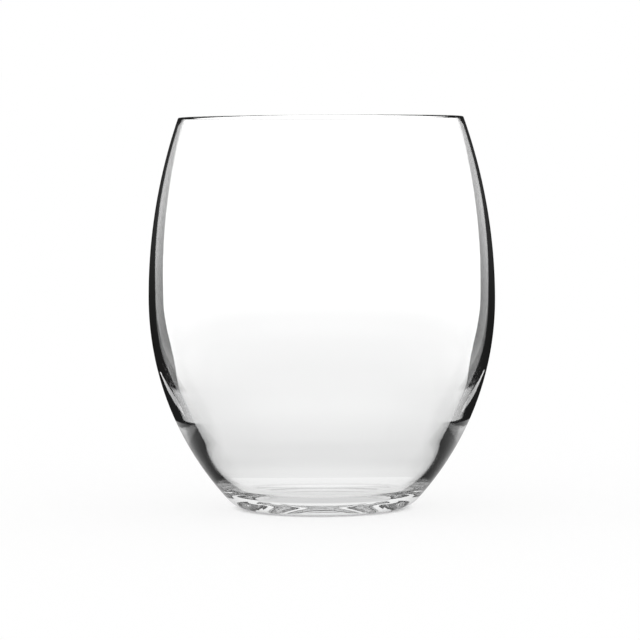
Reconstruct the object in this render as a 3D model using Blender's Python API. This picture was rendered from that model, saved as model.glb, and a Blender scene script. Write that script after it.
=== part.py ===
"""Stemless water glass: one piece of clear pressed and blown glass, turned about the Z axis.

The foot stands on z = 0 and the mouth opens towards +Z. Lengths are in metres, angles in radians.
The half section is a closed chain of arcs that meet without a corner, from the middle of the
underside, out over the foot, up the outside, over the lip and down the inside to the floor.
"""

import math
from dataclasses import dataclass

import bmesh
import bpy
from mathutils import Vector

# Outside
HEIGHT = 0.0995
RIM_DIAMETER = 0.0725
BELLY_DIAMETER = 0.0880
BELLY_HEIGHT = 0.0534
FOOT_DIAMETER = 0.0370
FOOT_EDGE_RADIUS = 0.0079

# Underside: a flat ring to stand on, and a shallow hollow inside it
FOOT_RING_WIDTH = 0.0040
PUNT_DEPTH = 0.0007
PUNT_EDGE_RADIUS = 0.0030

# Wall, thin at the lip and heavier towards the foot, with a soft swell above the heel
RIM_WALL = 0.0009
BELLY_WALL = 0.0017
HEEL_WALL = 0.0032
HEEL_HEIGHT = 0.0150
SWELL_DEPTH = 0.0009
SWELL_HEIGHT = 0.0188
SWELL_RISE = 0.0235

# Inside floor
BASE_THICKNESS = 0.0026
FLOOR_DISH_RADIUS = 0.1450
WELL_RADIUS = 0.0087

# Facets
TURN_STEPS = 72
CHORD_ERROR = 0.00006
BOWL_CHORD_ERROR = 0.000015
MERGE_DISTANCE = 0.000001

# Clear glass
GLASS_COLOUR = (0.95, 0.97, 0.96, 1.0)
GLASS_ROUGHNESS = 0.02
GLASS_METALLIC = 0.0
GLASS_INDEX = 1.52

RIGHT_ANGLE = math.pi / 2


@dataclass(frozen=True)
class Arc:
    """A round stretch of the half section, about a centre at (radius, height)."""

    centre: Vector
    radius: float
    start: float
    end: float

    def points(self, chord_error: float = CHORD_ERROR) -> list[Vector]:
        """Points from the start to just before the end, close enough for the chord error."""
        widest = 2 * math.acos(1 - min(chord_error / self.radius, 1.0))
        count = max(math.ceil(abs(self.end - self.start) / widest), 1)
        step = (self.end - self.start) / count
        return [self.at(self.start + step * index) for index in range(count)]

    def at(self, angle: float) -> Vector:
        """The point of the arc's circle at an angle."""
        return self.centre + self.radius * Vector((math.cos(angle), math.sin(angle)))


def bearing(origin: Vector, target: Vector) -> float:
    """The angle at which a target lies from an origin, in the half section."""
    offset = target - origin
    return math.atan2(offset.y, offset.x)


def upright_arc_radius(widest: float, reach: float, rise: float, other_radius: float) -> float:
    """Radius of an arc that leaves the belly upright and meets a round end without a corner.

    widest is the belly's radius, reach and rise place the round end's centre, and other_radius
    is positive for a round end inside the arc's circle and negative for one outside it.
    """
    inset = widest - reach
    return (inset**2 + rise**2 - other_radius**2) / (2 * (inset - other_radius))


def circle_crossing(first: Vector, first_radius: float, second: Vector, second_radius: float) -> Vector:
    """The crossing of two circles that lies to the left of the line from first to second."""
    line = second - first
    distance = line.length
    along = (distance**2 + first_radius**2 - second_radius**2) / (2 * distance)
    across = math.sqrt(first_radius**2 - along**2)
    unit = line / distance
    return first + along * unit + across * Vector((-unit.y, unit.x))


def underside() -> list[Vector]:
    """The hollow under the base and its rounded edge, from the axis to the flat ring."""
    ring_inside = FOOT_DIAMETER / 2 - FOOT_RING_WIDTH
    dome_radius = (ring_inside**2 + PUNT_DEPTH**2 - 2 * PUNT_EDGE_RADIUS * PUNT_DEPTH) / (2 * PUNT_DEPTH)
    dome_centre = Vector((0.0, PUNT_DEPTH - dome_radius))
    edge_centre = Vector((ring_inside, PUNT_EDGE_RADIUS))
    lean = bearing(dome_centre, edge_centre)
    dome = Arc(dome_centre, dome_radius, RIGHT_ANGLE, lean)
    edge = Arc(edge_centre, PUNT_EDGE_RADIUS, lean - math.pi, -RIGHT_ANGLE)
    return dome.points() + edge.points() + [edge.at(edge.end)]


def outside() -> list[Vector]:
    """The foot's edge and the barrel, from the flat ring to the widest circle."""
    belly = BELLY_DIAMETER / 2
    foot_centre = Vector((FOOT_DIAMETER / 2, FOOT_EDGE_RADIUS))
    radius = upright_arc_radius(belly, foot_centre.x, BELLY_HEIGHT - foot_centre.y, FOOT_EDGE_RADIUS)
    barrel_centre = Vector((belly - radius, BELLY_HEIGHT))
    lean = bearing(barrel_centre, foot_centre)
    foot_edge = Arc(foot_centre, FOOT_EDGE_RADIUS, -RIGHT_ANGLE, lean)
    barrel = Arc(barrel_centre, radius, lean, 0.0)
    return foot_edge.points() + barrel.points()


def rim() -> list[Vector]:
    """The upper wall, from the widest circle over the rounded lip and down to the belly inside."""
    belly = BELLY_DIAMETER / 2
    inner_belly = belly - BELLY_WALL
    lip_radius = RIM_WALL / 2
    lip_centre = Vector((RIM_DIAMETER / 2 - lip_radius, HEIGHT - lip_radius))
    rise = lip_centre.y - BELLY_HEIGHT
    outer_radius = upright_arc_radius(belly, lip_centre.x, rise, lip_radius)
    inner_radius = upright_arc_radius(inner_belly, lip_centre.x, rise, -lip_radius)
    outer_centre = Vector((belly - outer_radius, BELLY_HEIGHT))
    inner_centre = Vector((inner_belly - inner_radius, BELLY_HEIGHT))
    outer_lean = bearing(outer_centre, lip_centre)
    inner_lean = bearing(inner_centre, lip_centre)
    outer = Arc(outer_centre, outer_radius, 0.0, outer_lean)
    lip_outside = Arc(lip_centre, lip_radius, outer_lean, RIGHT_ANGLE)
    lip_inside = Arc(lip_centre, lip_radius, RIGHT_ANGLE, inner_lean + math.pi)
    inner = Arc(inner_centre, inner_radius, inner_lean, 0.0)
    return outer.points() + lip_outside.points() + lip_inside.points() + inner.points()


def barrel_radius_at(height: float) -> float:
    """The outside radius of the barrel at a height between the foot's edge and the belly."""
    belly = BELLY_DIAMETER / 2
    drop = BELLY_HEIGHT - height
    radius = upright_arc_radius(
        belly, FOOT_DIAMETER / 2, BELLY_HEIGHT - FOOT_EDGE_RADIUS, FOOT_EDGE_RADIUS
    )
    return belly - radius + math.sqrt(radius**2 - drop**2)


def swollen(point: Vector, bowl: Arc) -> Vector:
    """A point of the bowl, moved inwards where the wall swells. The swell ends where the bowl does."""
    above = point.y > SWELL_HEIGHT
    reach = SWELL_RISE if above else SWELL_HEIGHT - bowl.at(bowl.end).y
    share = min(abs(point.y - SWELL_HEIGHT) / reach, 1.0)
    inwards = (bowl.centre - point).normalized()
    return point + SWELL_DEPTH * math.cos(RIGHT_ANGLE * share) ** 2 * inwards


def inside() -> list[Vector]:
    """The bowl, the well round the floor and the dished floor, from the belly to the axis."""
    inner_belly = BELLY_DIAMETER / 2 - BELLY_WALL
    heel = barrel_radius_at(HEEL_HEIGHT) - HEEL_WALL
    bowl_radius = upright_arc_radius(inner_belly, heel, BELLY_HEIGHT - HEEL_HEIGHT, 0.0)
    bowl_centre = Vector((inner_belly - bowl_radius, BELLY_HEIGHT))
    floor_centre = Vector((0.0, PUNT_DEPTH + BASE_THICKNESS + FLOOR_DISH_RADIUS))
    well_centre = circle_crossing(
        floor_centre, FLOOR_DISH_RADIUS - WELL_RADIUS, bowl_centre, bowl_radius - WELL_RADIUS
    )
    bowl_end = bearing(bowl_centre, well_centre)
    floor_start = bearing(floor_centre, well_centre)
    bowl = Arc(bowl_centre, bowl_radius, 0.0, bowl_end)
    well = Arc(well_centre, WELL_RADIUS, bowl_end, floor_start)
    floor = Arc(floor_centre, FLOOR_DISH_RADIUS, floor_start, -RIGHT_ANGLE)
    wall = [swollen(point, bowl) for point in bowl.points(BOWL_CHORD_ERROR)]
    return wall + well.points() + floor.points() + [floor.at(floor.end)]


def half_section() -> list[Vector]:
    """The whole chain of points, as (radius, height), from axis to axis."""
    return underside() + outside() + rim() + inside()


def clear_glass() -> bpy.types.Material:
    """Clear, almost colourless glass with a polished surface."""
    material = bpy.data.materials.new("clear_glass")
    material.use_nodes = True
    shader = material.node_tree.nodes["Principled BSDF"]
    shader.inputs["Base Color"].default_value = GLASS_COLOUR
    shader.inputs["Roughness"].default_value = GLASS_ROUGHNESS
    shader.inputs["Metallic"].default_value = GLASS_METALLIC
    shader.inputs["IOR"].default_value = GLASS_INDEX
    shader.inputs["Transmission Weight"].default_value = 1.0
    return material


def turned_glass(name: str, section: list[Vector]) -> bpy.types.Object:
    """One closed body, made by turning a half section once round the Z axis."""
    body = bmesh.new()
    chain = [body.verts.new((point.x, 0.0, point.y)) for point in section]
    edges = [body.edges.new(pair) for pair in zip(chain, chain[1:])]
    bmesh.ops.spin(
        body,
        geom=chain + edges,
        axis=(0.0, 0.0, 1.0),
        cent=(0.0, 0.0, 0.0),
        angle=2 * math.pi,
        steps=TURN_STEPS,
    )
    bmesh.ops.remove_doubles(body, verts=body.verts, dist=MERGE_DISTANCE)
    bmesh.ops.recalc_face_normals(body, faces=body.faces)
    mesh = bpy.data.meshes.new(name)
    body.to_mesh(mesh)
    body.free()
    mesh.shade_smooth()
    glass = bpy.data.objects.new(name, mesh)
    bpy.context.collection.objects.link(glass)
    return glass


def main() -> None:
    """Clears the scene and makes the glass."""
    for leftover in list(bpy.data.objects):
        bpy.data.objects.remove(leftover)
    glass = turned_glass("glass_body", half_section())
    glass.data.materials.append(clear_glass())


main()
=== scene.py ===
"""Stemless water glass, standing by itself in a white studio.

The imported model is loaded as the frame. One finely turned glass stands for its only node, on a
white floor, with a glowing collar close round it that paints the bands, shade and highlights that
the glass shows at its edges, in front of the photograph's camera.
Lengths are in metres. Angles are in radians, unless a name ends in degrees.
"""

import logging
import math
from dataclasses import dataclass
from enum import Enum
from typing import Any

import bmesh
import bpy
from mathutils import Euler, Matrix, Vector

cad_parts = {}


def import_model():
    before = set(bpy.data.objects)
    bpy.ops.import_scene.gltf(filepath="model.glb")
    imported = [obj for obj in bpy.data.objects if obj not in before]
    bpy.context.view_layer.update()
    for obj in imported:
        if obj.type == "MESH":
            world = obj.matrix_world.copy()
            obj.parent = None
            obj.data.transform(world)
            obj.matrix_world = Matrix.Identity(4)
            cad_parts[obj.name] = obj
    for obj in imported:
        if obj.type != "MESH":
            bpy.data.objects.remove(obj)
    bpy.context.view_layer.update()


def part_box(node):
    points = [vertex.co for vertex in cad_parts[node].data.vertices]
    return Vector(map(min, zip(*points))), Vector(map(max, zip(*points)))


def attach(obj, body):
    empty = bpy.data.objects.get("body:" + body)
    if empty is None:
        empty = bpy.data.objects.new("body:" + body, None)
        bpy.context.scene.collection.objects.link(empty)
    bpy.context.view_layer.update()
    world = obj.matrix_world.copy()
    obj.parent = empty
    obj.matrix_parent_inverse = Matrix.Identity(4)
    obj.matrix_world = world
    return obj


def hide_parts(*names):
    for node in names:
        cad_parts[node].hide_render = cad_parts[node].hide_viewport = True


LOG = logging.getLogger("water_glass")
NODE = "glass_body"
BODY = "root"
RIGHT_ANGLE = math.pi / 2
HALF_TURN = math.pi
FULL_TURN = 2 * math.pi
HALF_TURN_DEGREES = 180.0
MERGE_DISTANCE = 0.000001

Colour = tuple[float, float, float, float]
Stops = tuple[tuple[float, float], ...]

WHITE: Colour = (1.0, 1.0, 1.0, 1.0)

# Sockets of a Mix node that have the same names for numbers and colours
MIX_FIRST_COLOUR = 6
MIX_SECOND_COLOUR = 7
MIX_COLOUR_RESULT = 2

# At this blend, Layer Weight's Facing is one less the cosine of the angle of arrival
COSINE_BLEND = 0.5

# A passage between two whole numbers that is narrow enough to keep them apart
COUNT_SOFTNESS = 0.2

# The most faces that light goes through when it stays in one wall
WALL_FACES = 3

# Strength of the painted white glow that the glass shows, over one to make up for what its faces turn
# away
PAINTED_WHITE_GLOW = 1.16


class Sum(Enum):
    """The kinds of sum that a Math node is asked for."""

    ADD = "ADD"
    SUBTRACT = "SUBTRACT"
    MULTIPLY = "MULTIPLY"
    DIVIDE = "DIVIDE"
    LEAST = "MINIMUM"
    MOST = "MAXIMUM"
    RISE = "ARCSINE"


class Easing(Enum):
    """How a value passes from one level to the next."""

    STRAIGHT = "LINEAR"
    SOFT = "SMOOTHSTEP"


@dataclass(frozen=True)
class Signal:
    """A value on its way through a shader, which takes part in Python's sums."""

    sheet: "NodeSheet"
    socket: bpy.types.NodeSocket

    def __add__(self, other: "Signal | float") -> "Signal":
        """This value and another."""
        return self.sheet.sum(Sum.ADD, self, other)

    def __radd__(self, other: float) -> "Signal":
        """A number and this value."""
        return self.sheet.sum(Sum.ADD, other, self)

    def __sub__(self, other: "Signal | float") -> "Signal":
        """This value less another."""
        return self.sheet.sum(Sum.SUBTRACT, self, other)

    def __rsub__(self, other: float) -> "Signal":
        """A number less this value."""
        return self.sheet.sum(Sum.SUBTRACT, other, self)

    def __mul__(self, other: "Signal | float") -> "Signal":
        """This value times another."""
        return self.sheet.sum(Sum.MULTIPLY, self, other)

    def __rmul__(self, other: float) -> "Signal":
        """A number times this value."""
        return self.sheet.sum(Sum.MULTIPLY, other, self)

    def __truediv__(self, other: "Signal | float") -> "Signal":
        """This value over another."""
        return self.sheet.sum(Sum.DIVIDE, self, other)

    def __rtruediv__(self, other: float) -> "Signal":
        """A number over this value."""
        return self.sheet.sum(Sum.DIVIDE, other, self)

    def at_most(self, limit: float) -> "Signal":
        """This value, held down to a limit."""
        return self.sheet.sum(Sum.LEAST, self, limit)

    def at_least(self, limit: "Signal | float") -> "Signal":
        """This value, held up to a limit."""
        return self.sheet.sum(Sum.MOST, self, limit)

    def more_than(self, count: int) -> "Signal":
        """One where this whole number is more than a count, and zero elsewhere."""
        return self.step(count + 0.5, COUNT_SOFTNESS)

    def step(self, middle: float, width: float) -> "Signal":
        """Zero well below a level and one well above it, with a soft passage of a given width."""
        return self.passage(middle - width / 2, middle + width / 2, Easing.SOFT)

    def passage(self, start: float, end: float, easing: Easing = Easing.STRAIGHT) -> "Signal":
        """How far this value has passed from a start to an end.

        Args:
            start: The level at which the passage is zero.
            end: The level at which the passage is one.
            easing: Whether the passage is straight or soft.

        Returns:
            A value from zero to one.
        """
        node = self.sheet.add(
            "ShaderNodeMapRange",
            {"interpolation_type": easing.value, "clamp": True},
            {"Value": self, "From Min": start, "From Max": end},
        )
        return self.sheet.signal(node.outputs["Result"])

    def ramp(self, stops: Stops) -> "Signal":
        """The tone that a ramp gives for this value.

        Args:
            stops: Pairs of a place from zero to one and the tone there.

        Returns:
            The tone, straight from each stop to the next.
        """
        node = self.sheet.add("ShaderNodeValToRGB", {"stops": stops}, {"Fac": self})
        return self.sheet.signal(node.outputs["Color"])


class NodeSheet:
    """A node tree that is filled from nothing."""

    def __init__(self, tree: bpy.types.NodeTree) -> None:
        """Empties a node tree and keeps it.

        Args:
            tree: The tree of a material or of the world.
        """
        self.tree = tree
        tree.nodes.clear()

    def add(self, kind: str, settings: dict[str, Any], sockets: dict[str | int, Any]) -> bpy.types.Node:
        """Adds a node of any kind.

        Args:
            kind: Blender's name for the node's type.
            settings: The node's own properties, and a ramp's stops, which are set first.
            sockets: A number, colour, Signal or output socket for each input that is used.

        Returns:
            The new node.
        """
        node = self.tree.nodes.new(kind)
        for name, value in settings.items():
            if name == "stops":
                self.set_stops(node.color_ramp, value)
            else:
                setattr(node, name, value)
        for name, value in sockets.items():
            self.feed(node.inputs[name], value)
        return node

    def feed(self, entry: bpy.types.NodeSocket, value: Any) -> None:
        """Links or sets one input.

        Args:
            entry: The input.
            value: A Signal or an output socket to link, or else a value to set.
        """
        if isinstance(value, Signal):
            self.tree.links.new(value.socket, entry)
        elif isinstance(value, bpy.types.NodeSocket):
            self.tree.links.new(value, entry)
        else:
            entry.default_value = value

    def signal(self, socket: bpy.types.NodeSocket) -> Signal:
        """Wraps an output socket."""
        return Signal(self, socket)

    def sum(self, kind: Sum, *values: Signal | float) -> Signal:
        """Adds one Math node.

        Args:
            kind: The sum.
            values: The sum's values, in the node's order.

        Returns:
            The sum's result.
        """
        node = self.add("ShaderNodeMath", {"operation": kind.value}, dict(enumerate(values)))
        return self.signal(node.outputs["Value"])

    def blend(self, share: Signal, first: Signal | float, second: Signal | float) -> Signal:
        """Passes from a first value to a second one.

        Args:
            share: How much of the second value is taken, from zero to one.
            first: The value where the share is zero.
            second: The value where the share is one.

        Returns:
            The blended value.
        """
        node = self.add(
            "ShaderNodeMix", {"data_type": "FLOAT"}, {"Factor": share, "A": first, "B": second}
        )
        return self.signal(node.outputs["Result"])

    def blend_colour(self, share: Signal, first: Colour, second: Colour) -> bpy.types.NodeSocket:
        """Passes from a first colour to a second one.

        Args:
            share: How much of the second colour is taken, from zero to one.
            first: The colour where the share is zero.
            second: The colour where the share is one.

        Returns:
            The output that gives the blended colour.
        """
        node = self.add(
            "ShaderNodeMix",
            {"data_type": "RGBA"},
            {"Factor": share, MIX_FIRST_COLOUR: first, MIX_SECOND_COLOUR: second},
        )
        return node.outputs[MIX_COLOUR_RESULT]

    def mix_surfaces(self, share: Signal, first: bpy.types.Node, second: bpy.types.Node) -> None:
        """Ends a material with a mixture of two shaders.

        Args:
            share: How much of the second shader is taken, from zero to one.
            first: The shader where the share is zero.
            second: The shader where the share is one.
        """
        mixed = self.add(
            "ShaderNodeMixShader", {}, {"Fac": share, 1: first.outputs[0], 2: second.outputs[0]}
        )
        self.add("ShaderNodeOutputMaterial", {}, {"Surface": mixed.outputs["Shader"]})

    @staticmethod
    def set_stops(ramp: bpy.types.ColorRamp, stops: Stops) -> None:
        """Gives a ramp its stops.

        Args:
            ramp: A new ramp, which has two stops.
            stops: Pairs of a place from zero to one and a grey tone.
        """
        while len(ramp.elements) < len(stops):
            ramp.elements.new(1.0)
        for element, (place, tone) in zip(ramp.elements, stops):
            element.position = place
            element.color = (tone, tone, tone, 1.0)


def new_material(name: str) -> tuple[bpy.types.Material, NodeSheet]:
    """Makes a material without nodes.

    Args:
        name: The material's name.

    Returns:
        The material and the sheet that its nodes go on.
    """
    material = bpy.data.materials.new(name)
    material.use_nodes = True
    return material, NodeSheet(material.node_tree)


@dataclass(frozen=True)
class Arc:
    """A round stretch of the half section, about a centre at (radius, height)."""

    centre: Vector
    radius: float
    start: float
    end: float

    def points(self, chord_error: float) -> list[Vector]:
        """Points from the start to just before the end.

        Args:
            chord_error: How far a chord may lie from the arc.

        Returns:
            The points, evenly spaced.
        """
        widest = 2 * math.acos(1 - min(chord_error / self.radius, 1.0))
        count = max(math.ceil(abs(self.end - self.start) / widest), 1)
        step = (self.end - self.start) / count
        return [self.at(self.start + step * index) for index in range(count)]

    def at(self, angle: float) -> Vector:
        """The point of the arc's circle at an angle."""
        return self.centre + self.radius * Vector((math.cos(angle), math.sin(angle)))


def bearing(origin: Vector, target: Vector) -> float:
    """The angle at which a target lies from an origin, in the half section."""
    offset = target - origin
    return math.atan2(offset.y, offset.x)


def upright_arc_radius(widest: float, end: Vector, height: float, end_radius: float) -> float:
    """Radius of an arc that stands upright at the belly and meets a round end without a corner.

    Args:
        widest: The arc's radius from the axis at the belly.
        end: The centre of the round end.
        height: The belly's height.
        end_radius: Positive for a round end inside the arc's circle, negative for one outside.

    Returns:
        The arc's own radius.
    """
    inset = widest - end.x
    rise = end.y - height
    return (inset**2 + rise**2 - end_radius**2) / (2 * (inset - end_radius))


def circle_crossing(first: Vector, first_radius: float, second: Vector, second_radius: float) -> Vector:
    """The crossing of two circles that lies to the left of the line from first to second.

    Args:
        first: Centre of the first circle.
        first_radius: Its radius.
        second: Centre of the second circle.
        second_radius: Its radius.

    Returns:
        The crossing.
    """
    line = second - first
    distance = line.length
    along = (distance**2 + first_radius**2 - second_radius**2) / (2 * distance)
    across = math.sqrt(first_radius**2 - along**2)
    unit = line / distance
    return first + along * unit + across * Vector((-unit.y, unit.x))


def placed(name: str, shape: bmesh.types.BMesh) -> bpy.types.Object:
    """Puts a shape in the scene, and frees it.

    Args:
        name: The name of the object.
        shape: The finished shape.

    Returns:
        The object.
    """
    mesh = bpy.data.meshes.new(name)
    shape.to_mesh(mesh)
    shape.free()
    piece = bpy.data.objects.new(name, mesh)
    bpy.context.collection.objects.link(piece)
    return piece


def turned(name: str, section: list[Vector], steps: int) -> bpy.types.Object:
    """Turns a half section once round the Z axis.

    Args:
        name: The name of the object.
        section: Points as (radius, height).
        steps: How many steps the turn is made in.

    Returns:
        The smooth turned object.
    """
    shape = bmesh.new()
    chain = [shape.verts.new((point.x, 0.0, point.y)) for point in section]
    edges = [shape.edges.new(pair) for pair in zip(chain, chain[1:])]
    bmesh.ops.spin(
        shape,
        geom=chain + edges,
        axis=(0.0, 0.0, 1.0),
        cent=(0.0, 0.0, 0.0),
        angle=FULL_TURN,
        steps=steps,
    )
    bmesh.ops.remove_doubles(shape, verts=shape.verts, dist=MERGE_DISTANCE)
    bmesh.ops.recalc_face_normals(shape, faces=shape.faces)
    piece = placed(name, shape)
    piece.data.shade_smooth()
    return piece


@dataclass(frozen=True)
class ClearGlass:
    """Colourless fire-polished glass, with the faint ripple of a blown wall."""

    thin_tint: Colour = (1.0, 1.0, 1.0, 1.0)
    thick_tint: Colour = (0.990, 0.992, 0.991, 1.0)
    refractive_index: float = 1.52
    polish: float = 0.0
    ripple_per_metre: float = 45.0
    ripple_detail: float = 1.0
    ripple_height: float = 0.000001

    def material(self, height: float) -> bpy.types.Material:
        """Makes the glass.

        Args:
            height: The height over which the tint passes from the foot's to the rim's.

        Returns:
            A material for the whole glass.
        """
        material, sheet = new_material("clear_glass_dressed")
        place = sheet.add("ShaderNodeTexCoord", {}, {}).outputs["Object"]
        parts = sheet.add("ShaderNodeSeparateXYZ", {}, {"Vector": place})
        share_up = sheet.signal(parts.outputs["Z"]).passage(0.0, height, Easing.SOFT)
        ripple = sheet.add(
            "ShaderNodeTexNoise",
            {},
            {"Vector": place, "Scale": self.ripple_per_metre, "Detail": self.ripple_detail},
        )
        bump = sheet.add(
            "ShaderNodeBump", {}, {"Height": ripple.outputs["Fac"], "Distance": self.ripple_height}
        )
        shader = sheet.add(
            "ShaderNodeBsdfPrincipled",
            {},
            {
                "Base Color": sheet.blend_colour(share_up, self.thick_tint, self.thin_tint),
                "Roughness": self.polish,
                "IOR": self.refractive_index,
                "Transmission Weight": 1.0,
                "Normal": bump.outputs["Normal"],
            },
        )
        sheet.add("ShaderNodeOutputMaterial", {}, {"Surface": shader.outputs["BSDF"]})
        return material


@dataclass(frozen=True)
class WhiteFloor:
    """A white sheet under the glass, which keeps a part of the glass's shadow."""

    side: float = 40.0
    shade_share: float = 0.18
    contact_share: float = 0.85
    contact_reach: float = 0.0195
    contact_end: float = 0.0240
    paper: Colour = (0.995, 0.995, 0.995, 1.0)

    def build(self) -> bpy.types.Object:
        """Makes the sheet, which the glass doesn't show.

        Returns:
            The floor.
        """
        shape = bmesh.new()
        bmesh.ops.create_grid(shape, x_segments=1, y_segments=1, size=self.side / 2)
        floor = placed("floor", shape)
        floor.data.materials.append(self.material())
        floor.visible_glossy = False
        floor.visible_transmission = False
        return floor

    def material(self) -> bpy.types.Material:
        """White paper: bright by itself, and shaded for its share, most of all beside the foot.

        Returns:
            The floor's material.
        """
        material, sheet = new_material("white_paper")
        place = sheet.add("ShaderNodeTexCoord", {}, {}).outputs["Object"]
        distance = sheet.add("ShaderNodeVectorMath", {"operation": "LENGTH"}, {0: place}).outputs["Value"]
        close = sheet.signal(distance).passage(self.contact_end, self.contact_reach, Easing.SOFT)
        share = sheet.blend(close, self.shade_share, self.contact_share)
        glow = sheet.add("ShaderNodeEmission", {}, {"Color": WHITE, "Strength": 1.0})
        paper = sheet.add("ShaderNodeBsdfDiffuse", {}, {"Color": self.paper})
        sheet.mix_surfaces(share, glow, paper)
        return material


@dataclass(frozen=True)
class StudioSurround:
    """Soft white light from all round, and what the glass shows past the collar's two ends.

    The camera and the floor meet plain white. What the glass shows is painted, and depends on how
    light left it: straight through, turned back once inside the wall, sent to and fro in it, glanced
    off the outside, or turned back after it crossed the bowl. Each kind meets a painted tone for its
    elevation in degrees, which paints the dark bands, grey shade and reflections at the glass's edges.
    """

    # Painted tones by elevation in degrees, which the glass shows for each way light left it
    painted_straight_tones: Stops = (
        (-90, 0.70),
        (-57, 0.76),
        (-36, 0.80),
        (-9, 0.83),
        (-6.5, 0.862),
        (-5.6, 0.875),
        (-4.6, 0.90),
        (-4, 0.98),
        (-3.5, 1.0),
        (90, 1.0),
    )
    once_tones: Stops = ((-90, 0.80), (-40, 0.72), (-34, 0.35), (-18, 0.35), (-12, 0.9), (90, 0.9))
    painted_paper_tones: Stops = ((-90, 1.0), (-14, 1.0), (-10, 0.55), (8, 0.55), (12, 1.0), (90, 1.0))
    often_tone: float = 0.97
    glance_tones: Stops = (
        (-90, 0.03),
        (-45, 0.03),
        (-33, 0.08),
        (-25, 0.16),
        (-20, 0.28),
        (-14, 0.45),
        (-4, 0.50),
        (8, 0.30),
        (40, 0.50),
        (90, 1.0),
    )
    bounces: int = 48

    def build(self) -> bpy.types.World:
        """Makes the world, and lets light be turned back often enough to cross the thin base.

        Returns:
            The scene's new world.
        """
        paths = bpy.context.scene.cycles
        paths.max_bounces = self.bounces
        paths.glossy_bounces = self.bounces
        paths.transmission_bounces = self.bounces
        world = bpy.data.worlds.new("studio")
        world.use_nodes = True
        bpy.context.scene.world = world
        sheet = NodeSheet(world.node_tree)
        path = sheet.add("ShaderNodeLightPath", {}, {}).outputs
        to_camera = sheet.signal(path["Is Camera Ray"])
        to_floor = sheet.signal(path["Diffuse Depth"]).at_most(1.0)
        off_glass = (1.0 - to_camera) * (1.0 - to_floor)
        turns = sheet.signal(path["Glossy Depth"])
        faces = sheet.signal(path["Transmission Depth"])
        tone = sheet.blend(off_glass, 1.0, self.glass_tone(sheet, turns, faces))
        light = sheet.add("ShaderNodeBackground", {}, {"Color": tone, "Strength": 1.0})
        sheet.add("ShaderNodeOutputWorld", {}, {"Surface": light.outputs["Background"]})
        return world

    def glass_tone(self, sheet: NodeSheet, turns: Signal, faces: Signal) -> Signal:
        """What light meets that left the glass.

        Args:
            sheet: The world's nodes.
            turns: How often the light was turned back.
            faces: How many faces of the glass it went through.

        Returns:
            The painted tone that the glass shows for this light.
        """
        way = sheet.add("ShaderNodeTexCoord", {}, {}).outputs["Generated"]
        parts = sheet.add("ShaderNodeSeparateXYZ", {}, {"Vector": way}).outputs
        elevation = sheet.sum(Sum.RISE, sheet.signal(parts["Z"]))
        # Painted tones for each way light left the glass; the straight-through white glows over one
        straight = self.by_elevation(elevation, self.painted_straight_tones) * PAINTED_WHITE_GLOW
        once = self.by_elevation(elevation, self.once_tones)
        glance = self.by_elevation(elevation, self.glance_tones)
        in_wall = sheet.blend(turns.more_than(1), once, self.often_tone)
        paper = self.by_elevation(elevation, self.painted_paper_tones)
        inside = sheet.blend(faces.more_than(WALL_FACES), in_wall, paper)
        mirrored = sheet.blend(faces.more_than(0), glance, inside)
        return sheet.blend(turns.at_most(1.0), straight, mirrored)

    @staticmethod
    def by_elevation(elevation: Signal, stops: Stops) -> Signal:
        """A tone for each elevation.

        Args:
            elevation: The elevation in radians.
            stops: Pairs of an elevation in degrees and the tone there.

        Returns:
            The tone, straight from each stop to the next.
        """
        share = (elevation + RIGHT_ANGLE) / HALF_TURN
        return share.ramp(tuple((degrees / HALF_TURN_DEGREES + 0.5, tone) for degrees, tone in stops))


@dataclass(frozen=True)
class PhotographCamera:
    """A long lens a little above the rim, almost level, as the photograph was taken."""

    distance: float = 1.05
    height: float = 0.116
    focal_pixels: float = 4139.0
    image_width: int = 640
    sensor_width: float = 36.0
    pitch_degrees: float = 3.71
    roll_degrees: float = 0.37
    axis_pixel: float = 322.0
    farthest: float = 200.0

    def build(self) -> bpy.types.Object:
        """Makes the camera and hands it to the scene.

        Returns:
            The camera.
        """
        lens = bpy.data.cameras.new("photograph_camera")
        lens.sensor_width = self.sensor_width
        lens.lens = self.sensor_width * self.focal_pixels / self.image_width
        lens.clip_end = self.farthest
        camera = bpy.data.objects.new("photograph_camera", lens)
        camera.location = (0.0, -self.distance, self.height)
        yaw = math.atan((self.axis_pixel - self.image_width / 2) / self.focal_pixels)
        aim = Euler((RIGHT_ANGLE - math.radians(self.pitch_degrees), 0.0, yaw)).to_matrix()
        roll = Euler((0.0, 0.0, -math.radians(self.roll_degrees))).to_matrix()
        camera.rotation_euler = (aim @ roll).to_euler()
        bpy.context.collection.objects.link(camera)
        bpy.context.scene.camera = camera
        return camera


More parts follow.
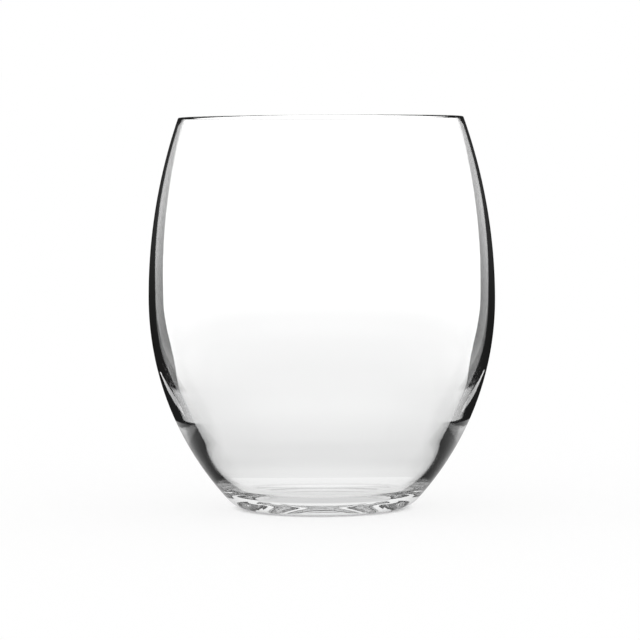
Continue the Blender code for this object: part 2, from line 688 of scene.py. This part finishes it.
@dataclass(frozen=True)
class GlassBody:
    """The glass itself: one body, turned about the Z axis, thin at the lip and heavier below."""

    height: float
    belly_diameter: float
    rim_diameter: float = 0.0725
    belly_height: float = 0.0534
    foot_diameter: float = 0.0370
    foot_edge_radius: float = 0.0079
    foot_ring_width: float = 0.0040
    punt_depth: float = 0.0007
    punt_edge_radius: float = 0.0030
    rim_wall: float = 0.0009
    belly_wall: float = 0.0017
    heel_wall: float = 0.0032
    heel_height: float = 0.0150
    swell_depth: float = 0.0009
    swell_height: float = 0.0188
    swell_rise: float = 0.0235
    base_thickness: float = 0.0026
    floor_dish_radius: float = 0.1450
    well_radius: float = 0.0087
    turn_steps: int = 288
    chord_error: float = 0.000003
    wall_chord_error: float = 0.0000005

    def underside(self) -> list[Arc]:
        """The hollow under the base and its rounded edge, from the axis to the flat ring.

        Returns:
            The two arcs.
        """
        ring_inside = self.foot_diameter / 2 - self.foot_ring_width
        depth = self.punt_depth
        dome_radius = (ring_inside**2 + depth**2 - 2 * self.punt_edge_radius * depth) / (2 * depth)
        dome_centre = Vector((0.0, depth - dome_radius))
        edge_centre = Vector((ring_inside, self.punt_edge_radius))
        lean = bearing(dome_centre, edge_centre)
        dome = Arc(dome_centre, dome_radius, RIGHT_ANGLE, lean)
        edge = Arc(edge_centre, self.punt_edge_radius, lean - HALF_TURN, -RIGHT_ANGLE)
        return [dome, edge]

    def barrel(self) -> tuple[Arc, Arc]:
        """The foot's edge and the barrel above it, up to the widest circle.

        Returns:
            The two arcs.
        """
        belly = self.belly_diameter / 2
        foot_centre = Vector((self.foot_diameter / 2, self.foot_edge_radius))
        radius = upright_arc_radius(belly, foot_centre, self.belly_height, self.foot_edge_radius)
        barrel_centre = Vector((belly - radius, self.belly_height))
        lean = bearing(barrel_centre, foot_centre)
        foot_edge = Arc(foot_centre, self.foot_edge_radius, -RIGHT_ANGLE, lean)
        return foot_edge, Arc(barrel_centre, radius, lean, 0.0)

    def rim(self) -> list[Arc]:
        """The upper wall, from the widest circle over the lip and down to the belly inside.

        Returns:
            The four arcs.
        """
        belly = self.belly_diameter / 2
        inner_belly = belly - self.belly_wall
        lip_radius = self.rim_wall / 2
        lip_centre = Vector((self.rim_diameter / 2 - lip_radius, self.height - lip_radius))
        outer_radius = upright_arc_radius(belly, lip_centre, self.belly_height, lip_radius)
        inner_radius = upright_arc_radius(inner_belly, lip_centre, self.belly_height, -lip_radius)
        outer_centre = Vector((belly - outer_radius, self.belly_height))
        inner_centre = Vector((inner_belly - inner_radius, self.belly_height))
        outer_lean = bearing(outer_centre, lip_centre)
        inner_lean = bearing(inner_centre, lip_centre)
        return [
            Arc(outer_centre, outer_radius, 0.0, outer_lean),
            Arc(lip_centre, lip_radius, outer_lean, RIGHT_ANGLE),
            Arc(lip_centre, lip_radius, RIGHT_ANGLE, inner_lean + HALF_TURN),
            Arc(inner_centre, inner_radius, inner_lean, 0.0),
        ]

    def swollen(self, point: Vector, bowl: Arc) -> Vector:
        """Moves a point of the bowl inwards where the wall swells at the heel.

        Args:
            point: A point of the bowl.
            bowl: The bowl's arc, which ends where the swell does.

        Returns:
            The point on the swollen wall.
        """
        above = point.y > self.swell_height
        reach = self.swell_rise if above else self.swell_height - bowl.at(bowl.end).y
        share = min(abs(point.y - self.swell_height) / reach, 1.0)
        inwards = (bowl.centre - point).normalized()
        return point + inwards * self.swell_depth * math.cos(RIGHT_ANGLE * share) ** 2

    def inside(self) -> list[Vector]:
        """The bowl, the well round the floor and the dished floor, from the belly to the axis.

        Returns:
            Points as (radius, height).
        """
        barrel = self.barrel()[1]
        drop = self.belly_height - self.heel_height
        outer_heel = barrel.centre.x + math.sqrt(barrel.radius**2 - drop**2)
        heel = Vector((outer_heel - self.heel_wall, self.heel_height))
        inner_belly = self.belly_diameter / 2 - self.belly_wall
        bowl_radius = upright_arc_radius(inner_belly, heel, self.belly_height, 0.0)
        bowl_centre = Vector((inner_belly - bowl_radius, self.belly_height))
        dish_radius = self.floor_dish_radius
        floor_centre = Vector((0.0, self.punt_depth + self.base_thickness + dish_radius))
        well_centre = circle_crossing(
            floor_centre, dish_radius - self.well_radius, bowl_centre, bowl_radius - self.well_radius
        )
        bowl_end = bearing(bowl_centre, well_centre)
        floor_start = bearing(floor_centre, well_centre)
        bowl = Arc(bowl_centre, bowl_radius, 0.0, bowl_end)
        well = Arc(well_centre, self.well_radius, bowl_end, floor_start)
        floor = Arc(floor_centre, dish_radius, floor_start, -RIGHT_ANGLE)
        wall = [self.swollen(point, bowl) for point in bowl.points(self.wall_chord_error)]
        bottom = [*well.points(self.chord_error), *floor.points(self.chord_error)]
        return [*wall, *bottom, floor.at(floor.end)]

    def half_section(self) -> list[Vector]:
        """The whole outline, from the axis under the base to the axis on the floor.

        Returns:
            Points as (radius, height).
        """
        under = self.underside()
        points = [point for arc in under for point in arc.points(self.chord_error)]
        points.append(under[-1].at(under[-1].end))
        outer = [*self.barrel(), *self.rim()]
        points += [point for arc in outer for point in arc.points(self.chord_error)]
        return [*points, *self.inside()]

    def build(self) -> bpy.types.Object:
        """Turns the half section once round the axis.

        Returns:
            The glass, smooth and closed.
        """
        glass = turned("glass", self.half_section(), self.turn_steps)
        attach(glass, BODY)
        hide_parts(NODE)
        return glass

    def dress(self, glass: bpy.types.Object, finish: ClearGlass) -> None:
        """Gives the glass its finish.

        Args:
            glass: The turned glass.
            finish: The finish.
        """
        glass.data.materials.append(finish.material(self.height))


@dataclass(frozen=True)
class Meeting:
    """How light from the glass meets the collar: its way so far, its height and its slant.

    The slant is one where light meets the collar squarely and zero where it grazes it. The shares are
    one for light of their kind: turned back at all, once, often or to and fro, or kept to one wall.
    """

    sheet: NodeSheet
    span: float
    height: Signal
    slant: Signal
    turned: Signal
    once: Signal
    often: Signal
    to_and_fro: Signal
    in_wall: Signal

    @classmethod
    def on(cls, sheet: NodeSheet, span: float) -> "Meeting":
        """Reads the meeting from a material's nodes.

        Args:
            sheet: The material's nodes.
            span: The height of the collar's upper end.

        Returns:
            The meeting.
        """
        path = sheet.add("ShaderNodeLightPath", {}, {}).outputs
        turns = sheet.signal(path["Glossy Depth"])
        faces = sheet.signal(path["Transmission Depth"])
        place = sheet.add("ShaderNodeTexCoord", {}, {}).outputs["Object"]
        parts = sheet.add("ShaderNodeSeparateXYZ", {}, {"Vector": place}).outputs
        weight = sheet.add("ShaderNodeLayerWeight", {}, {"Blend": COSINE_BLEND}).outputs
        entered = faces.more_than(0)
        twice = turns.more_than(1)
        return cls(
            sheet=sheet,
            span=span,
            height=sheet.signal(parts["Z"]),
            slant=1.0 - sheet.signal(weight["Facing"]),
            turned=turns.at_most(1.0),
            once=(1.0 - twice) * entered,
            often=twice * entered,
            to_and_fro=turns.more_than(2),
            in_wall=1.0 - faces.more_than(WALL_FACES),
        )

    def by_height(self, stops: Stops) -> Signal:
        """A tone, or a slant, for each height.

        Args:
            stops: Pairs of a height in metres and the value there.

        Returns:
            The value, straight from each stop to the next.
        """
        return (self.height / self.span).ramp(tuple((level / self.span, value) for level, value in stops))

    def above(self, level: float, softness: float) -> Signal:
        """One above a height and zero below it, with a soft passage."""
        return self.height.step(level, softness)

    def past(self, edges: Stops, softness: float) -> Signal:
        """One where the slant is past the edge for the height, and zero short of it."""
        return (self.slant - self.by_height(edges)).step(0.0, softness)


@dataclass(frozen=True)
class PaintedWhiteTones:
    """Painted tones for light that went straight through: white above, painted grey towards the foot.

    Tones and edges go by height. Short of the edge the painted white gives way to painted dark tones,
    which paint the dark edge bands. The lifts are painted light, which makes up for what a slanting
    wall turns away, and the side shades are painted shade, which rounds off the lower bowl. Both go
    by slant.
    """

    tones: Stops = (
        (0.0075, 0.776),
        (0.0098, 0.707),
        (0.0112, 0.750),
        (0.0131, 0.776),
        (0.0151, 0.802),
        (0.0175, 0.828),
        (0.0300, 0.832),
        (0.0340, 0.848),
        (0.0365, 0.858),
        (0.0387, 0.868),
        (0.0409, 0.890),
        (0.0431, 0.914),
        (0.0455, 0.938),
        (0.0500, 1.0),
    )
    edges: Stops = (
        (0.0270, 0.380),
        (0.0300, 0.425),
        (0.0323, 0.454),
        (0.0361, 0.477),
        (0.0400, 0.480),
        (0.0496, 0.449),
        (0.0560, 0.442),
        (0.0650, 0.425),
        (0.0776, 0.400),
        (0.0878, 0.372),
        (0.0970, 0.337),
    )
    edge_softness: float = 0.008
    painted_dark_edge_tones: Stops = (
        (0.0300, 0.0),
        (0.0335, 0.10),
        (0.0365, 0.11),
        (0.0420, 0.02),
        (0.0550, 0.06),
        (0.0780, 0.08),
        (0.0880, 0.20),
        (0.0970, 0.75),
    )
    lifts: Stops = (
        (0.45, 0.62),
        (0.488, 0.41),
        (0.532, 0.23),
        (0.623, 0.13),
        (0.716, 0.06),
        (0.81, 0.016),
        (0.90, 0.0),
    )
    lift_start: float = 0.018
    lift_full: float = 0.036
    side_shades: Stops = (
        (0.60, 0.075),
        (0.72, 0.058),
        (0.79, 0.045),
        (0.85, 0.024),
        (0.90, 0.012),
        (0.95, 0.0),
    )
    shade_full: float = 0.021
    shade_end: float = 0.029

    def tone(self, meeting: Meeting) -> Signal:
        """The painted white tone, or the painted dark edge tone.

        Args:
            meeting: How the light meets the collar.

        Returns:
            The tone.
        """
        raised = meeting.height.passage(self.lift_start, self.lift_full)
        lowered = meeting.height.passage(self.shade_end, self.shade_full)
        lift = meeting.slant.ramp(self.lifts) * raised + 1.0
        shade = 1.0 - meeting.slant.ramp(self.side_shades) * lowered
        # Painted white glow, raised by the painted lifts and lowered by the painted side shade
        white = meeting.by_height(self.tones) * lift * shade * PAINTED_WHITE_GLOW
        lit = meeting.past(self.edges, self.edge_softness)
        return meeting.sheet.blend(lit, meeting.by_height(self.painted_dark_edge_tones), white)


@dataclass(frozen=True)
class PaintedDarkShade:
    """Painted dark shade round the wall above the heel, a little paler towards the rim."""

    start: float = 0.0220
    edge: float = 0.0003
    lower_tone: float = 0.012
    upper_tone: float = 0.035
    upper_start: float = 0.0450
    upper_end: float = 0.0850

    def share(self, meeting: Meeting) -> Signal:
        """One where the painted shade is."""
        return meeting.above(self.start, self.edge)

    def tone(self, meeting: Meeting) -> Signal:
        """The tone of the painted shade."""
        upper = meeting.height.passage(self.upper_start, self.upper_end, Easing.SOFT)
        return meeting.sheet.blend(upper, self.lower_tone, self.upper_tone)


@dataclass(frozen=True)
class PaintedHighlightStreak:
    """A painted highlight: a narrow bright glow on the painted dark, shown as a reflection in the heel.

    It lies between two slants, which go by height, and closes to a point at its upper end.
    """

    starts: Stops = (
        (0.0225, 0.420),
        (0.0247, 0.392),
        (0.0272, 0.340),
        (0.0298, 0.305),
        (0.0336, 0.268),
        (0.0350, 0.250),
        (0.0365, 0.700),
    )
    ends: Stops = (
        (0.0225, 0.400),
        (0.0265, 0.405),
        (0.0298, 0.368),
        (0.0336, 0.296),
        (0.0355, 0.260),
    )
    softness: float = 0.012
    # Glow of the painted highlight, brighter than plain white
    strength: float = 1.8

    def tone(self, meeting: Meeting, around: Signal) -> Signal:
        """The painted highlight, and the tone around it.

        Args:
            meeting: How the light meets the collar.
            around: The painted dark tone that the streak lies on.

        Returns:
            The tone.
        """
        begun = meeting.past(self.starts, self.softness)
        ended = meeting.past(self.ends, self.softness)
        return meeting.sheet.blend(begun * (1.0 - ended), around, self.strength)


@dataclass(frozen=True)
class PaintedHeelShade:
    """Painted grey round the heel and white under it, for light that was turned back often.

    Light that went to and fro meets a darker painted shade low on the heel.
    """

    tones: Stops = (
        (0.0052, 0.97),
        (0.0058, 0.12),
        (0.0090, 0.10),
        (0.0115, 0.16),
        (0.0138, 0.30),
        (0.0165, 0.40),
        (0.0185, 0.37),
        (0.0200, 0.40),
        (0.0212, 0.60),
    )
    tip_start: float = 0.0050
    tip_start_edge: float = 0.0002
    tip_end: float = 0.0150
    tip_end_edge: float = 0.0020
    tip_share: float = 0.30

    def tone(self, meeting: Meeting) -> Signal:
        """The painted tone.

        Args:
            meeting: How the light meets the collar.

        Returns:
            The tone.
        """
        grey = meeting.by_height(self.tones)
        off_foot = meeting.above(self.tip_start, self.tip_start_edge)
        tip = grey * meeting.sheet.blend(off_foot, 1.0, self.tip_share)
        in_tip = meeting.to_and_fro * (1.0 - meeting.above(self.tip_end, self.tip_end_edge))
        return meeting.sheet.blend(in_tip, grey, tip)


@dataclass(frozen=True)
class PaintedBandTones:
    """Painted tones for light that was turned back once: a dark line with a grey side, and a dark heel.

    The line and the heel end at slants that go by height. Between them lies a painted pale band, and
    under the heel a painted grey foot.
    """

    line_edges: Stops = (
        (0.0390, 0.392),
        (0.0500, 0.353),
        (0.0550, 0.345),
        (0.0650, 0.318),
        (0.0780, 0.291),
        (0.0880, 0.284),
        (0.0970, 0.290),
    )
    line_softness: float = 0.014
    side_tones: Stops = ((0.034, 0.60), (0.042, 0.53), (0.055, 0.55), (0.065, 0.80), (0.078, 1.0))
    pale_start: float = 0.0204
    pale_end: float = 0.0290
    pale_edge: float = 0.0015
    pale_tone: float = 0.80
    heel_edges: Stops = ((0.0140, 0.50), (0.0175, 0.46), (0.0204, 0.40))
    heel_softness: float = 0.03
    heel_tone: float = 0.01
    foot_height: float = 0.0020
    foot_tone: float = 0.68
    edge: float = 0.0003

    def on_foot(self, meeting: Meeting) -> Signal:
        """One on the foot and zero above it."""
        return 1.0 - meeting.above(self.foot_height, self.edge)

    def share(self, meeting: Meeting, off_foot: Signal) -> Signal:
        """Where the painted bands are.

        Args:
            meeting: How the light meets the collar.
            off_foot: One above the foot's edge.

        Returns:
            One on a band, and zero where light passes the collar.
        """
        above_heel = meeting.above(self.pale_start, self.edge)
        on_heel = (1.0 - meeting.past(self.heel_edges, self.heel_softness)) * off_foot
        return above_heel.at_least(on_heel).at_least(self.on_foot(meeting))

    def tone(self, meeting: Meeting, dark: Signal) -> Signal:
        """The painted tone of the band for the height.

        Args:
            meeting: How the light meets the collar.
            dark: The painted dark tone, which the line takes.

        Returns:
            The tone.
        """
        beside_line = meeting.past(self.line_edges, self.line_softness)
        line = meeting.sheet.blend(beside_line, dark, meeting.by_height(self.side_tones))
        above_pale = meeting.above(self.pale_end, self.pale_edge)
        wall = meeting.sheet.blend(above_pale, self.pale_tone, line)
        low = meeting.sheet.blend(self.on_foot(meeting), self.heel_tone, self.foot_tone)
        return meeting.sheet.blend(meeting.above(self.pale_start, self.edge), low, wall)


@dataclass(frozen=True)
class PaintedLightCollar:
    """A glowing collar close round the glass, which only light that comes off the glass meets.

    It follows the outside of the glass from under the foot to above the rim, and paints, by height, by
    the slant of the arriving light and by the light's way through the glass, the dark bands, grey
    shade and highlights that the glass shows at its edges. It is the same all round, so the glass
    looks alike from all sides.
    """

    low: float = 0.0050
    low_edge: float = 0.0003
    high: float = 0.1050
    clearance: float = 0.0010
    turn_steps: int = 144
    chord_error: float = 0.00001
    white: PaintedWhiteTones = PaintedWhiteTones()
    dark: PaintedDarkShade = PaintedDarkShade()
    streak: PaintedHighlightStreak = PaintedHighlightStreak()
    heel: PaintedHeelShade = PaintedHeelShade()
    bands: PaintedBandTones = PaintedBandTones()

    def build(self, outline: tuple[Arc, Arc, Arc]) -> bpy.types.Object:
        """Makes the collar.

        Args:
            outline: The arcs of the glass's outside at the foot's edge, below the belly and above
                it, which the collar follows.

        Returns:
            The collar, hidden from the camera, from diffuse light and from shadows.
        """
        foot, barrel, shoulder = (
            Arc(arc.centre, arc.radius + self.clearance, arc.start, arc.end) for arc in outline
        )
        end = math.asin((self.high - shoulder.centre.y) / shoulder.radius)
        upper = Arc(shoulder.centre, shoulder.radius, 0.0, end)
        section = [Vector((0.0, -self.clearance))]
        section += [point for arc in (foot, barrel, upper) for point in arc.points(self.chord_error)]
        section.append(upper.at(end))
        collar = turned("collar", section, self.turn_steps)
        collar.data.materials.append(self.material())
        collar.visible_camera = False
        collar.visible_diffuse = False
        collar.visible_shadow = False
        return collar

    def material(self) -> bpy.types.Material:
        """Glowing painted tones, bright and dark, and clear where there is none.

        Returns:
            The collar's material.
        """
        material, sheet = new_material("collar_painted_light")
        meeting = Meeting.on(sheet, self.high)
        clear = sheet.add("ShaderNodeBsdfTransparent", {}, {})
        # The emission is no lamp: it glows with the painted tones that the glass shows
        painted_glow = sheet.add("ShaderNodeEmission", {}, {"Color": self.tone(meeting), "Strength": 1.0})
        sheet.mix_surfaces(self.share(meeting), clear, painted_glow)
        return material

    def share(self, meeting: Meeting) -> Signal:
        """Where the collar glows with a painted tone.

        Args:
            meeting: How the light meets the collar.

        Returns:
            One where a painted tone glows, and zero where light passes the collar.
        """
        sheet = meeting.sheet
        off_foot = meeting.above(self.low, self.low_edge)
        banded = self.bands.share(meeting, off_foot)
        few = sheet.blend(meeting.once, self.dark.share(meeting), banded)
        mirrored = sheet.blend(meeting.often, few, 1.0) * meeting.in_wall
        return sheet.blend(meeting.turned, off_foot, mirrored)

    def tone(self, meeting: Meeting) -> Signal:
        """The painted tone that each kind of light meets.

        Args:
            meeting: How the light meets the collar.

        Returns:
            The tone.
        """
        sheet = meeting.sheet
        dark = self.dark.tone(meeting)
        glanced = self.streak.tone(meeting, dark)
        often = sheet.blend(self.dark.share(meeting), self.heel.tone(meeting), dark)
        not_once = sheet.blend(meeting.often, glanced, often)
        mirrored = sheet.blend(meeting.once, not_once, self.bands.tone(meeting, dark))
        return sheet.blend(meeting.turned, self.white.tone(meeting), mirrored)


def main() -> None:
    """Loads the frame, and makes the camera, the studio and the glass."""
    logging.basicConfig(level=logging.INFO, format="%(name)s: %(message)s")
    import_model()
    low, high = (Vector(corner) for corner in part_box(NODE))
    PhotographCamera().build()
    LOG.info("camera")
    bpy.context.scene.view_settings.view_transform = "Standard"
    StudioSurround().build()
    LOG.info("surround")
    WhiteFloor().build()
    LOG.info("floor")
    body = GlassBody(height=high.z - low.z, belly_diameter=high.x - low.x)
    glass = body.build()
    body.dress(glass, ClearGlass())
    LOG.info("glass: %d faces", len(glass.data.polygons))
    PaintedLightCollar().build((*body.barrel(), body.rim()[0]))
    LOG.info("collar")


if __name__ == "__main__":
    main()
